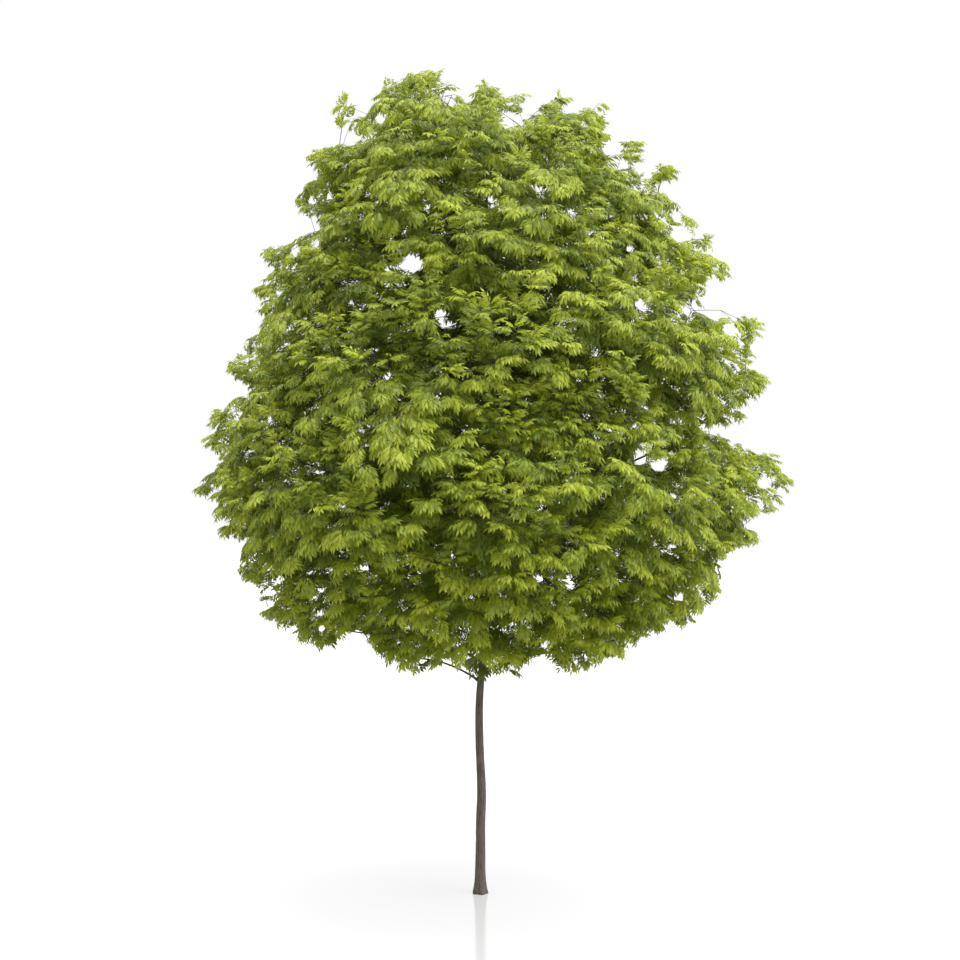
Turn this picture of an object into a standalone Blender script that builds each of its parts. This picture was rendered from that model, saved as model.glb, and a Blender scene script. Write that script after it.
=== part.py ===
"""A young ash tree, grown as a standard: a clear stem with a flared foot, a leader that runs on up
through the crown, boughs that climb from it at angles that steepen towards the top, and masses of
foliage on the boughs' tips and on the leader. Each blade in a mass stands for a spray of leaves.

Metres, +Z up. The origin is the centre of the flat cut at ground level, and -Y is the front.
"""

import math
import random

import bpy
from mathutils import Vector
from mathutils.bvhtree import BVHTree

UP = Vector((0.0, 0.0, 1.0))
CLEARANCE = 0.0003  # between a limb and what carries it

# The crown's reach from the line above the trunk's foot: height, to the left (-X), to the right.
CROWN_OUTLINE = (
    (2.06, 0.60, 0.45),
    (2.28, 1.50, 1.45),
    (2.50, 1.95, 1.97),
    (3.05, 2.38, 2.45),
    (3.60, 2.74, 2.87),
    (4.15, 2.92, 3.15),
    (4.70, 2.78, 2.62),
    (5.25, 2.58, 2.96),
    (5.75, 2.28, 2.88),
    (6.00, 2.36, 2.36),
    (6.40, 2.22, 2.58),
    (6.90, 1.92, 1.96),
    (7.30, 1.80, 1.98),
    (7.80, 1.56, 1.36),
    (8.08, 1.36, 1.22),
    (8.20, 0.95, 0.95),
    (8.27, 0.45, 0.45),
)
CROWN_FOOT = CROWN_OUTLINE[0][0]
CROWN_TOP = CROWN_OUTLINE[-1][0]
CROWN_SLACK = 1.03  # the furthest tips may pass the outline by this share

# Gaps that let the sky through from the front: sideways place and height where the gap passes the
# trunk's plane, and its radius. They all open towards one point, far in front of the tree.
SKY_GAPS = (
    (-0.36, 5.80, 0.13),
    (-0.70, 6.28, 0.11),
    (1.72, 4.36, 0.15),
    (0.78, 3.12, 0.12),
    (0.08, 6.95, 0.08),
)
GAPS_OPEN_TO = Vector((0.0, -16.0, 4.13))

# The trunk: height, radius, and how far its centre wanders sideways and forwards.
TRUNK_STATIONS = (
    (0.00, 0.078, 0.000, 0.000),
    (0.05, 0.068, 0.000, 0.000),
    (0.13, 0.058, 0.001, 0.001),
    (0.30, 0.051, 0.004, 0.002),
    (0.65, 0.047, 0.006, 0.004),
    (1.05, 0.045, 0.015, 0.003),
    (1.50, 0.041, -0.005, -0.002),
    (1.95, 0.038, -0.004, -0.006),
    (2.40, 0.036, 0.035, 0.000),
    (3.00, 0.033, 0.085, 0.012),
    (4.00, 0.028, 0.070, -0.010),
    (5.20, 0.022, 0.095, 0.012),
    (6.20, 0.017, 0.080, -0.004),
    (7.10, 0.012, 0.065, 0.000),
)
TRUNK_SIDES = 12
FLARE_HEIGHT = 0.25  # the root flare's ribs fade out at this height
FLARE_RIBS = 5
FLARE_DEPTH = 0.10

BOUGH_COUNT = 26
LOWEST_AIM = 2.46  # the boughs aim at the crown's skin from this height up
BOUGH_SIDES = 5
BOUGH_TURN = math.radians(68.75)  # each pair of boughs is turned this far from the pair below
FIRST_AZIMUTH = math.radians(135.0)
BOUGH_CLIMB = (math.radians(9.0), math.radians(59.0))  # at the crown's foot and at its top
BOUGH_ARCH = math.radians(13.0)  # steeper than the climb at its root, flatter at its tip
BOUGH_TIP_RADIUS = 0.009
BOUGH_TAPER = 0.0032  # added to the root's radius for each metre of length
BOUGH_SEGMENTS = 4
BOUGH_SEED = 4100

MASS_DEPTH = 1.20  # from a bough's tip to the crown's skin
MASS_SHARE = 0.62  # of the way from trunk to skin, at most
MASS_CENTRE = 0.55  # of the way from a mass's foot to the skin
MASS_SEED = 7300
LEADER_SHARE = 0.035  # of the crown's skin, left to the leader's own mass
INNER_MASSES = (2.85, 3.65, 4.45, 5.25, 6.05)  # heights on the trunk of the masses near it
INNER_AZIMUTH = 0.5
INNER_TURN = 2.4
INNER_CLIMB = math.radians(32.0)
INNER_REACH = 1.25
STEM_RADII = (0.009, 0.0085, 0.0075, 0.0042)
STEM_SHORT_OF_SKIN = 0.50
STEM_SHORTEST = 0.30
CELL_MARGIN = 0.006  # kept clear on both sides of the face between two masses
LIMB_MARGIN = 0.003  # kept clear round the trunk, the boughs and other masses' stems

# The three pairs of twigs up a mass's stem, and the twigs tried after them where it is thin.
TWIG_ANGLES = (math.radians(66.0), math.radians(58.0), math.radians(50.0))
TWIG_STATIONS = (0.12, 0.45, 0.78)
TWIG_TURN = math.radians(60.0)
TWIG_STEP = 0.022  # between the two twigs of a pair
TWIG_SIDES = 3
TWIG_RADIUS = 0.0075
TWIG_TIP_RADIUS = 0.0042
TWIG_SHORTEST = 0.14
TWIG_LONGEST = 1.6
TWIG_SHORT_OF_ROOM = 0.30  # a twig stops at least this far short of its room's end
LENGTHS_TRIED = 14
TWIGS_TRIED = 26
FEWEST_SPRAYS = 14
MOST_SPRAYS = 16

PAIRS = ((0.85, 0.30), (0.45, 1.30))  # where on a twig each pair of sprays stands, and its turn
PAIR_ANGLE = math.radians(62.0)
PAIR_STEP = 0.015  # between the two sprays of a pair
PAIR_CLEAR = 0.08  # of the twig's root
SUNK = 0.030  # how far a tip's spray starts inside its twig

BLADE_LENGTH = 0.62
BLADE_WIDTH = 0.46
BLADE_THICKNESS = 0.024  # these are shares of the blade's length
BLADE_CREST = 0.41
BLADE_ARCH = 0.06
BLADE_SAG = 0.05
BLADE_DROP = 0.12
BLADE_SIZES = (1.1, 0.9, 0.72)
BLADE_DROOPS = (0.6, 0.3, 0.9, 0.0)  # how much it hangs from the way it sets out
BLADE_OUTWARD = 1.0  # how much its face leans away from the trunk

BARK_COLOUR = (0.135, 0.115, 0.098, 1.0)
LEAF_COLOUR = (0.165, 0.215, 0.030, 1.0)


def material(name, colour, roughness):
    made = bpy.data.materials.new(name)
    made.use_nodes = True
    shader = made.node_tree.nodes["Principled BSDF"]
    shader.inputs["Base Color"].default_value = colour
    shader.inputs["Roughness"].default_value = roughness
    shader.inputs["Metallic"].default_value = 0.0
    return made


def add_object(name, shape, finish):
    """An object from (vertices, faces), with one material."""
    mesh = bpy.data.meshes.new(name)
    mesh.from_pydata(shape[0], [], shape[1])
    mesh.materials.append(finish)
    made = bpy.data.objects.new(name, mesh)
    bpy.context.scene.collection.objects.link(made)
    return made


# The crown's skin and gaps


def crown_reach(height, azimuth):
    """How far the crown reaches from the axis at a height, towards an azimuth from +X."""
    to_right = 0.5 + 0.5 * math.cos(azimuth)
    for low, high in zip(CROWN_OUTLINE, CROWN_OUTLINE[1:]):
        if low[0] <= height <= high[0]:
            share = (height - low[0]) / (high[0] - low[0])
            left = low[1] + (high[1] - low[1]) * share
            right = low[2] + (high[2] - low[2]) * share
            return left + (right - left) * to_right
    return 0.0


def inside_crown(point):
    reach = crown_reach(point.z, math.atan2(point.y, point.x))
    return math.hypot(point.x, point.y) <= reach * CROWN_SLACK


def in_sky_gap(point):
    for sideways, height, radius in SKY_GAPS:
        sight = (Vector((sideways, 0.0, height)) - GAPS_OPEN_TO).normalized()
        along = (point - GAPS_OPEN_TO).dot(sight)
        if (point - GAPS_OPEN_TO - sight * along).length < radius:
            return True
    return False


def fills_sky_gap(points):
    """Whether a blade's points, or the middle between any two of them, lie in a gap."""
    return any(in_sky_gap((a + b) / 2) for i, a in enumerate(points) for b in points[i:])


def skin_heights(count):
    """Heights that share the crown's skin evenly, from its foot to where the leader's mass begins."""
    steps = 400
    rise = (CROWN_TOP - LOWEST_AIM) / steps
    heights, areas = [LOWEST_AIM], [0.0]
    for step in range(steps):
        low = LOWEST_AIM + rise * step
        high = min(low + rise, CROWN_TOP)
        first, last = crown_reach(low, math.pi / 2), crown_reach(high, math.pi / 2)
        heights.append(high)
        areas.append(areas[-1] + (first + last) * math.hypot(rise, last - first))
    wanted = [(k + 0.5) / count * areas[-1] * (1 - LEADER_SHARE) for k in range(count)]
    return [next(h for h, a in zip(heights, areas) if a >= want) for want in wanted]


# Limbs


def ring_frames(path):
    """Two directions square to the path at each of its points, carried on without twist."""
    frames = []
    side = None
    for i, point in enumerate(path):
        ahead = path[min(i + 1, len(path) - 1)] - path[max(i - 1, 0)]
        ahead.normalize()
        if side is None:
            side = ahead.orthogonal().normalized()
        side = (side - ahead * side.dot(ahead)).normalized()
        frames.append((side, ahead.cross(side)))
    return frames


def limb(path, radii, sides):
    """A closed tapering limb along a path, flat at both ends: (vertices, faces)."""
    vertices = []
    for point, radius, (side, front) in zip(path, radii, ring_frames(path)):
        for corner in range(sides):
            turn = 2 * math.pi * corner / sides
            vertices.append(point + radius * (side * math.cos(turn) + front * math.sin(turn)))
    faces = [tuple(reversed(range(sides)))]
    for ring in range(len(path) - 1):
        for corner in range(sides):
            after = (corner + 1) % sides
            low, high = ring * sides, (ring + 1) * sides
            faces.append((low + corner, low + after, high + after, high + corner))
    faces.append(tuple(range(len(vertices) - sides, len(vertices))))
    return vertices, faces


def trunk_at(height):
    """The trunk's centre at a height, or at its tip."""
    for low, high in zip(TRUNK_STATIONS, TRUNK_STATIONS[1:]):
        if height <= high[0]:
            share = (height - low[0]) / (high[0] - low[0])
            _, _, x, y = (a + (b - a) * share for a, b in zip(low, high))
            return Vector((x, y, height))
    return Vector((high[2], high[3], high[0]))


def trunk_shape(extra=0.0):
    """The trunk, or one that much fatter all round, with its ends moved out as far."""
    vertices = []
    for height, radius, x, y in TRUNK_STATIONS:
        rib = FLARE_DEPTH * max(0.0, 1 - height / FLARE_HEIGHT)
        for corner in range(TRUNK_SIDES):
            turn = 2 * math.pi * corner / TRUNK_SIDES
            out = radius * (1 + rib * math.cos(FLARE_RIBS * turn)) + extra
            vertices.append(Vector((x + out * math.cos(turn), y + out * math.sin(turn), height)))
    for vertex in vertices[:TRUNK_SIDES]:
        vertex.z -= extra
    for vertex in vertices[-TRUNK_SIDES:]:
        vertex.z += extra
    faces = [tuple(reversed(range(TRUNK_SIDES)))]
    for ring in range(len(TRUNK_STATIONS) - 1):
        for corner in range(TRUNK_SIDES):
            after = (corner + 1) % TRUNK_SIDES
            low, high = ring * TRUNK_SIDES, (ring + 1) * TRUNK_SIDES
            faces.append((low + corner, low + after, high + after, high + corner))
    faces.append(tuple(range(len(vertices) - TRUNK_SIDES, len(vertices))))
    return vertices, faces


def from_angles(azimuth, climb):
    return Vector(
        (
            math.cos(azimuth) * math.cos(climb),
            math.sin(azimuth) * math.cos(climb),
            math.sin(climb),
        )
    )


def arched_path(root, tip, climb, azimuth):
    """A path that leaves its root steeper than it climbs, and comes to its tip flatter."""
    reach = (tip - root).length
    leaving = from_angles(azimuth, climb + BOUGH_ARCH) * reach
    arriving = from_angles(azimuth, climb - BOUGH_ARCH) * reach
    path = []
    for step in range(BOUGH_SEGMENTS + 1):
        t = step / BOUGH_SEGMENTS
        path.append(
            root * (2 * t**3 - 3 * t**2 + 1)
            + leaving * (t**3 - 2 * t**2 + t)
            + tip * (3 * t**2 - 2 * t**3)
            + arriving * (t**3 - t**2)
        )
    return path


def plan_boughs():
    """Where each bough leaves the trunk, where it ends, and the point of the skin it aims at."""
    plans = []
    for number, height in enumerate(skin_heights(BOUGH_COUNT)):
        rng = random.Random(BOUGH_SEED + number)
        pair, side = divmod(number, 2)
        azimuth = FIRST_AZIMUTH + pair * BOUGH_TURN + side * math.pi + rng.uniform(-0.16, 0.16)
        share = (height - CROWN_FOOT) / (CROWN_TOP - CROWN_FOOT)
        climb = BOUGH_CLIMB[0] + (BOUGH_CLIMB[1] - BOUGH_CLIMB[0]) * share
        reach = crown_reach(height, azimuth) * rng.uniform(0.965, 0.995)
        skin = Vector((reach * math.cos(azimuth), reach * math.sin(azimuth), height))
        root = trunk_at(height - reach * math.tan(climb))
        whole = (skin - root).length
        tip = root.lerp(skin, 1 - min(MASS_DEPTH, MASS_SHARE * whole) / whole)
        thicker = BOUGH_TAPER * (tip - root).length / BOUGH_SEGMENTS
        radii = [BOUGH_TIP_RADIUS + thicker * k for k in range(BOUGH_SEGMENTS, -1, -1)]
        plans.append({"path": arched_path(root, tip, climb, azimuth), "radii": radii, "skin": skin})
    return plans


def plan_masses(boughs):
    """Each mass's foot, the way its stem sets out, and the point of the skin it grows to."""
    plans = []
    for bough in boughs:
        path = bough["path"]
        ahead = (path[-1] - path[-2]).normalized()
        plans.append({"foot": path[-1] + ahead * CLEARANCE, "ahead": ahead, "skin": bough["skin"]})
    for number, height in enumerate(INNER_MASSES):
        foot = trunk_at(height)
        ahead = from_angles(INNER_AZIMUTH + number * INNER_TURN, INNER_CLIMB)
        plans.append({"foot": foot, "ahead": ahead, "skin": foot + ahead * INNER_REACH})
    top = trunk_at(CROWN_TOP)
    skin = Vector((0.0, 0.0, CROWN_TOP))
    plans.append({"foot": top + UP * CLEARANCE, "ahead": UP.copy(), "skin": skin})
    return plans


def cut_by_trunk(made, cutter):
    """Trims a limb that starts on the trunk's centre line back to the bark."""
    cut = made.modifiers.new("trim", "BOOLEAN")
    cut.operation = "DIFFERENCE"
    cut.solver = "EXACT"
    cut.object = cutter
    apply_modifiers(made)


def apply_modifiers(made):
    graph = bpy.context.evaluated_depsgraph_get()
    mesh = bpy.data.meshes.new_from_object(made.evaluated_get(graph))
    made.modifiers.clear()
    made.data = mesh


# Foliage


class Space:
    """The room one mass may fill: nearer its own centre than any other's, and clear of the limbs."""

    def __init__(self, number, centres, limbs):
        self.own = centres[number]
        self.others = [c for i, c in enumerate(centres) if i != number]
        self.limbs = limbs
        self.grown = []

    def holds(self, point):
        if not inside_crown(point):
            return False
        for other in self.others:
            between = other - self.own
            if (point - (self.own + other) / 2).dot(between) > -CELL_MARGIN * between.length:
                return False
        return True

    def room(self, root, ahead):
        """How far a thing could grow from its root before it leaves the space."""
        length = 0.0
        while length < 2.0 and self.holds(root + ahead * (length + 0.05)):
            length += 0.05
        return length

    def takes(self, shape, but_for=()):
        """Whether the shape fits, touching no limb, and nothing grown before but its bearers."""
        if not all(self.holds(vertex) for vertex in shape[0]):
            return False
        if shape[1] is BLADE_FACES and fills_sky_gap(shape[0]):
            return False
        tree = BVHTree.FromPolygons(*shape)
        if any(tree.overlap(other) for other in self.limbs):
            return False
        return not any(tree.overlap(o) for i, o in enumerate(self.grown) if i not in but_for)

    def keep(self, shape):
        self.grown.append(BVHTree.FromPolygons(*shape))
        return len(self.grown) - 1


BLADE_FACES = (
    (0, 2, 4),
    (2, 3, 4),
    (3, 1, 4),
    (1, 0, 4),
    (0, 5, 2),
    (2, 5, 3),
    (3, 5, 1),
    (1, 5, 0),
)


def blade(root, ahead, size):
    """A spray's blade: a thin arched kite of eight faces whose tip hangs."""
    outward = Vector((root.x, root.y, 0.0)).normalized()
    face = UP + outward * BLADE_OUTWARD
    face = (face - ahead * face.dot(ahead)).normalized()
    side = ahead.cross(face)
    length = BLADE_LENGTH * size
    half = 0.5 * BLADE_WIDTH * size
    middle = root + ahead * (BLADE_CREST * length) + face * (BLADE_ARCH * length)
    thick = face * (0.5 * BLADE_THICKNESS * length)
    edge = middle - face * (BLADE_SAG * length)
    tip = root + ahead * length - face * (BLADE_DROP * length)
    points = [root, edge - side * half, edge + side * half, tip, middle + thick, middle - thick]
    return points, BLADE_FACES


def turned(ahead, angle, around):
    """A direction at an angle from ahead, turned about it."""
    side = ahead.cross(UP)
    side = side.normalized() if side.length > 0.05 else Vector((1.0, 0.0, 0.0))
    lift = side.cross(ahead)
    sideways = side * math.cos(around) + lift * math.sin(around)
    return (ahead * math.cos(angle) + sideways * math.sin(angle)).normalized()


def add_blade(space, parts, root, ahead, bearer):
    """Fuses a spray's blade on, as large as fits, or leaves it out."""
    for size in BLADE_SIZES:
        for droop in BLADE_DROOPS:
            shape = blade(root, (ahead - UP * droop).normalized(), size)
            if space.takes(shape, but_for=(bearer,)):
                space.keep(shape)
                parts.append(shape)
                return


def tip_blade(space, root, ahead):
    """The full-sized blade for a twig's tip, if one fits."""
    for droop in BLADE_DROOPS:
        shape = blade(root, (ahead - UP * droop).normalized(), BLADE_SIZES[0])
        if space.takes(shape):
            return shape
    return None


def add_twig(space, parts, root, ahead, stem):
    """One twig, grown as far as its room lets it bear a spray at its tip, with pairs on its way."""
    room = min(space.room(root, ahead), TWIG_LONGEST)
    for step in range(LENGTHS_TRIED):
        length = room * (1 - step / LENGTHS_TRIED) - TWIG_SHORT_OF_ROOM
        if length < TWIG_SHORTEST:
            return
        tip = root + ahead * length
        twig = limb([root, tip], (TWIG_RADIUS, TWIG_TIP_RADIUS), TWIG_SIDES)
        spray = tip_blade(space, tip - ahead * SUNK, ahead)
        if spray and space.takes(twig, but_for=(stem,)):
            break
    else:
        return
    bearer = space.keep(twig)
    space.keep(spray)
    parts += [twig, spray]
    for place, first in PAIRS:
        foot = root.lerp(tip, place)
        if (foot - root).length < PAIR_CLEAR:
            continue
        for side in (0, 1):
            around = first + side * math.pi
            leaving = turned(ahead, PAIR_ANGLE, around)
            add_blade(space, parts, foot - ahead * (PAIR_STEP * side), leaving, bearer)


def grow_mass(space, stem):
    """The twigs and sprays of one mass, outwards from its stem."""
    parts = []
    path = stem["path"]
    bearer = space.keep(stem["shape"])
    top_ahead = (path[-1] - path[-2]).normalized()
    add_blade(space, parts, path[-1] - top_ahead * SUNK, top_ahead, bearer)
    for side in (0, 1):
        foot = path[-1] - top_ahead * (2 * SUNK + PAIR_STEP * side)
        add_blade(space, parts, foot, turned(top_ahead, PAIR_ANGLE, side * math.pi), bearer)
    rng = random.Random(stem["seed"])
    for number in range(TWIGS_TRIED):
        pair, side = divmod(number, 2)
        if pair < len(TWIG_STATIONS):
            station, angle, around = TWIG_STATIONS[pair], TWIG_ANGLES[pair], pair * TWIG_TURN
            enough = MOST_SPRAYS
        else:
            station, angle = rng.uniform(0.1, 0.9), rng.uniform(0.7, 1.2)
            around = rng.uniform(0.0, 2 * math.pi)
            enough = FEWEST_SPRAYS
        around += side * math.pi + rng.uniform(-0.25, 0.25)
        angle += rng.uniform(-0.12, 0.12)
        if sum(faces is BLADE_FACES for _, faces in parts) > enough:
            continue
        piece, share = divmod(station * (len(path) - 1), 1)
        low, high = path[int(piece)], path[int(piece) + 1]
        ahead = (high - low).normalized()
        root = low.lerp(high, share) + ahead * (TWIG_STEP * side)
        add_twig(space, parts, root, turned(ahead, angle, around), bearer)
    return parts


def plan_stem(plan, seed):
    """A mass's stem, from its foot to a spray short of the skin."""
    foot, ahead = plan["foot"], plan["ahead"]
    way = plan["skin"] - foot
    length = max(way.length - STEM_SHORT_OF_SKIN, STEM_SHORTEST)
    last = foot + way.normalized() * length
    path = [foot, foot + ahead * (length * 0.35), last.lerp(foot, 0.30) + ahead * 0.02, last]
    return {"path": path, "radii": STEM_RADII, "shape": limb(path, STEM_RADII, TWIG_SIDES), "seed": seed}


def keep_out(carrier, sides):
    """A limb, a little fatter, for testing what grows near it."""
    radii = [radius + LIMB_MARGIN for radius in carrier["radii"]]
    return BVHTree.FromPolygons(*limb(carrier["path"], radii, sides))


def fuse(made, parts, finish):
    """Joins twigs and blades to a mass's stem with one union, then clears them away."""
    group = bpy.data.collections.new("twigs_and_blades")
    bpy.context.scene.collection.children.link(group)
    for number, shape in enumerate(parts):
        piece = add_object(f"piece_{number}", shape, finish)
        bpy.context.scene.collection.objects.unlink(piece)
        group.objects.link(piece)
    union = made.modifiers.new("union", "BOOLEAN")
    union.operation = "UNION"
    union.operand_type = "COLLECTION"
    union.collection = group
    union.solver = "EXACT"
    apply_modifiers(made)
    for piece in list(group.objects):
        bpy.data.objects.remove(piece)
    bpy.data.collections.remove(group)


def main():
    for old in list(bpy.data.objects):
        bpy.data.objects.remove(old)
    bark = material("bark", BARK_COLOUR, 0.85)
    leaf = material("leaf", LEAF_COLOUR, 0.55)

    add_object("trunk", trunk_shape(), bark)
    cutter = add_object("trunk_cutter", trunk_shape(CLEARANCE), bark)
    cutter.hide_render = True
    cutter.display_type = "WIRE"

    boughs = plan_boughs()
    for number, bough in enumerate(boughs):
        shape = limb(bough["path"], bough["radii"], BOUGH_SIDES)
        made = add_object(f"bough_{number + 1:02d}", shape, bark)
        cut_by_trunk(made, cutter)

    plans = plan_masses(boughs)
    stems = [plan_stem(plan, MASS_SEED + number) for number, plan in enumerate(plans)]
    centres = [plan["foot"].lerp(plan["skin"], MASS_CENTRE) for plan in plans]
    limbs = [BVHTree.FromPolygons(*trunk_shape(LIMB_MARGIN))]
    limbs += [keep_out(bough, BOUGH_SIDES) for bough in boughs]
    stem_trees = [keep_out(stem, TWIG_SIDES) for stem in stems]
    for number, stem in enumerate(stems):
        others = [tree for i, tree in enumerate(stem_trees) if i != number]
        space = Space(number, centres, limbs + others)
        made = add_object(f"foliage_{number + 1:02d}", stem["shape"], leaf)
        if BOUGH_COUNT <= number < len(stems) - 1:
            cut_by_trunk(made, cutter)
        fuse(made, grow_mass(space, stem), leaf)


main()
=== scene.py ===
import random
from math import atan2, cos, exp, hypot, inf, pi, radians, sin, tan

import bpy
import numpy as np
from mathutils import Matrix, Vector, noise
from mathutils.bvhtree import BVHTree


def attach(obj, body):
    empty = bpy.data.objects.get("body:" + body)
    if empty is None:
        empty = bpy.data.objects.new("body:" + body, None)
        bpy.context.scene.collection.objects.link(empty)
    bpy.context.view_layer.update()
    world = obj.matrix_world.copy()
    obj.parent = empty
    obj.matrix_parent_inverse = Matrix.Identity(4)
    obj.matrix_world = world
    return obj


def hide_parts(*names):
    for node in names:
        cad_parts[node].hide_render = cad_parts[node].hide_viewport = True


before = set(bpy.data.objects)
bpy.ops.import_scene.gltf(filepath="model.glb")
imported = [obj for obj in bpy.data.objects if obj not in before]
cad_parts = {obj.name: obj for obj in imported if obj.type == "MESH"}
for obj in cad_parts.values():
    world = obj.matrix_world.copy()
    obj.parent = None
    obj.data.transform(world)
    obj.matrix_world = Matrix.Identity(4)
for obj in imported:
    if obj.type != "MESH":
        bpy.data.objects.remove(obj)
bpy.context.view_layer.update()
print("frame:", len(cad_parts), "nodes")

up = Vector((0.0, 0.0, 1.0))


def blend(low, high, share):
    return low + (high - low) * share


def vary(rng, by):
    return rng.uniform(-by, by)


def polar(radius, turn, height):
    return Vector((radius * cos(turn), radius * sin(turn), height))


def levelSide(ahead):
    side = ahead.cross(up)
    return side.normalized() if side.length > 0.05 else Vector((1.0, 0.0, 0.0))


# The crown's reach, and where the sky shows

crown = {
    # height, reach to the left (-X) and to the right of the line above the trunk's foot
    "outline": (
        (2.06, 0.60, 0.45), (2.28, 1.50, 1.45), (2.50, 1.95, 1.97), (3.05, 2.38, 2.45),
        (3.60, 2.74, 2.87), (4.15, 2.92, 3.15), (4.70, 2.78, 2.62), (5.25, 2.58, 2.96),
        (5.75, 2.28, 2.88), (6.00, 2.36, 2.36), (6.40, 2.22, 2.58), (6.90, 1.92, 1.96),
        (7.30, 1.80, 1.98), (7.80, 1.56, 1.36), (8.08, 1.36, 1.22), (8.20, 0.95, 0.95),
        (8.27, 0.45, 0.45),
    ),
    "slack": 1.03,  # the furthest tips may pass the outline by this share
    # sideways and up, where a gap passes the trunk's plane, and its radius
    "skyGaps": (
        (-0.36, 5.80, 0.13), (-0.70, 6.28, 0.11), (1.72, 4.36, 0.15), (0.78, 3.12, 0.12),
        (0.08, 6.95, 0.08),
    ),
    "gapsOpenTo": Vector((0.0, -16.0, 4.13)),
    "lowestAim": 2.46,
    "topFades": 0.35,  # how much further off the top counts, by the way out from the middle
    "leaderShare": 0.035,  # of the crown's skin, left to the leader's own mass
}
outline = np.array(crown["outline"]).T
crownFoot = crown["outline"][0][0]
crownTop = crown["outline"][-1][0]

seen = {
    # the sprays that stand out at the crown's edge, from the front: height, reach to the left,
    # and how far the edge falls back half way to the next of them
    "left": (
        (2.35, 1.60, 0.00), (2.80, 2.25, 0.15), (3.20, 2.45, 0.20), (3.65, 2.70, 0.15),
        (4.05, 2.90, 0.25), (4.55, 2.80, 0.00), (4.80, 2.70, 0.30), (5.25, 2.55, 0.20),
        (6.05, 2.30, 0.20), (6.40, 2.20, 0.45), (6.90, 1.90, 0.15), (7.40, 1.75, 0.45),
        (7.70, 1.50, 0.00), (8.05, 1.35, 0.00), (8.25, 0.90, 0.00),
    ),
    "right": (
        (2.30, 1.45, 0.25), (2.70, 2.20, 0.00), (3.05, 2.45, 0.25), (3.55, 2.85, 0.30),
        (3.85, 3.10, 0.10), (4.15, 3.15, 0.05), (4.35, 3.00, 0.50), (4.80, 2.75, 0.00),
        (5.15, 2.95, 0.20), (5.70, 2.85, 0.50), (6.20, 2.60, 0.15), (6.65, 2.35, 0.30),
        (7.25, 2.00, 0.15), (7.50, 1.65, 0.20), (7.70, 1.30, 0.00), (8.05, 1.20, 0.00),
        (8.15, 0.95, 0.00),
    ),
    # the same along the top, then along the foot: sideways place, height, fall back
    "top": (
        (-1.60, 7.80, 0.00), (-1.35, 8.05, 0.35), (-0.95, 8.15, 0.05), (-0.70, 8.20, 0.00),
        (-0.30, 8.25, 0.35), (0.05, 8.20, 0.15), (0.50, 8.00, 0.15), (0.80, 8.10, 0.20),
        (1.20, 8.05, 0.00), (1.35, 7.65, 0.00),
    ),
    "foot": (
        (-1.70, 2.45, 0.00), (-1.50, 2.35, 0.35), (-0.95, 2.25, 0.00), (-0.65, 2.15, 0.10),
        (-0.15, 2.10, 0.00), (0.10, 2.10, 0.10), (0.40, 2.10, 0.25), (0.80, 2.15, 0.00),
        (1.15, 2.20, 0.10), (1.45, 2.30, 0.00), (1.60, 2.45, 0.00),
    ),
    # where the sky shows through: sideways, up and radius
    "gaps": (
        (-0.40, 5.80, 0.07), (-0.30, 5.70, 0.05), (-0.65, 6.30, 0.09), (0.10, 6.95, 0.05),
        (1.60, 4.35, 0.07), (1.80, 4.30, 0.07), (2.85, 4.10, 0.06), (-2.10, 4.75, 0.04),
        (0.60, 3.15, 0.05), (0.90, 3.10, 0.05), (-0.30, 3.40, 0.04), (0.65, 2.50, 0.05),
        (-1.60, 2.80, 0.04), (-2.00, 3.15, 0.04), (1.60, 5.90, 0.05), (2.10, 5.85, 0.07),
        (2.50, 5.65, 0.07), (1.50, 6.45, 0.05), (2.00, 6.60, 0.09), (-1.85, 6.45, 0.05),
        (-1.65, 6.50, 0.05), (1.40, 7.30, 0.06), (1.60, 7.25, 0.06), (1.30, 7.45, 0.08),
        (0.30, 7.75, 0.08), (0.50, 7.85, 0.08), (0.90, 7.85, 0.06), (-0.30, 7.95, 0.07),
        (-1.00, 7.75, 0.06), (2.35, 5.80, 0.08), (2.20, 6.60, 0.05),
    ),
    "slack": 0.02,
    "tipSlack": 0.09,  # for the tufts that stand at the points of the edge
    "tipInset": 0.16,
    "tipDepths": (0.0, -0.35, 0.35, -0.15, 0.20),
    "rimInsets": (0.46, 0.68),
    "rimDepths": (-0.15, 0.15, -0.55, 0.55),
}


def edgeLine(rows, hand):
    # through each outstanding spray and the notch half way to the next one
    places, reaches = [rows[0][0]], [rows[0][1]]
    for before, after in zip(rows, rows[1:]):
        places += [(before[0] + after[0]) / 2, after[0]]
        reaches += [(before[1] + after[1]) / 2 - hand * before[2], after[1]]
    return places, reaches


edges = {name: edgeLine(seen[name], 1) for name in ("left", "right", "top")}
edges["foot"] = edgeLine(seen["foot"], -1)


def crownReach(height, azimuth):
    # at one place, or at many at once
    left, right = (np.interp(height, outline[0], side, left=0.0, right=0.0) for side in outline[1:])
    return blend(left, right, 0.5 + 0.5 * np.cos(azimuth))


def insideCrown(point):
    reach = crownReach(point.z, atan2(point.y, point.x))
    return hypot(point.x, point.y) <= reach * crown["slack"]


def inSkyGap(point):
    eye = crown["gapsOpenTo"]
    for sideways, height, radius in crown["skyGaps"]:
        sight = (Vector((sideways, 0.0, height)) - eye).normalized()
        along = (point - eye).dot(sight)
        if (point - eye - sight * along).length < radius:
            return True
    return False


def fillsSkyGap(points):
    return any(inSkyGap((a + b) / 2) for i, a in enumerate(points) for b in points[i:])


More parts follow.
